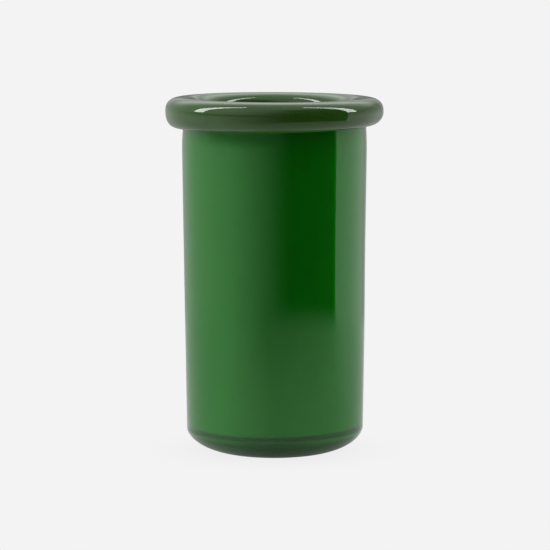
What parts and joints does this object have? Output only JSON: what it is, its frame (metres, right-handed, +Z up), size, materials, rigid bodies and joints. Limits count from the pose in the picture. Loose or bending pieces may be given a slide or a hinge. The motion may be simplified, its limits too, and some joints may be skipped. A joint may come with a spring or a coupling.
{
  "type": "vase",
  "caption": "Small cylinder vase in cased glass: dark transparent casing over an opaque bright green liner, with a thick rolled rim and a heavy rounded base",
  "frame": {"origin": "Centre of the foot ring, on the plane the vase stands on", "axes": "+Z up along the axis of revolution; +X and +Y are alike, because every piece is turned about Z; -Y is taken as the front"},
  "size_m": [0.1222, 0.1222, 0.2],
  "materials": {
    "casing_glass": "gloss",
    "liner_glass": "gloss",
    "rim_glass": "gloss"
  },
  "bodies": {
    "root": {"outer_casing": "casing_glass", "inner_liner": "liner_glass", "rolled_rim": "rim_glass"}
  },
  "joints": []
}
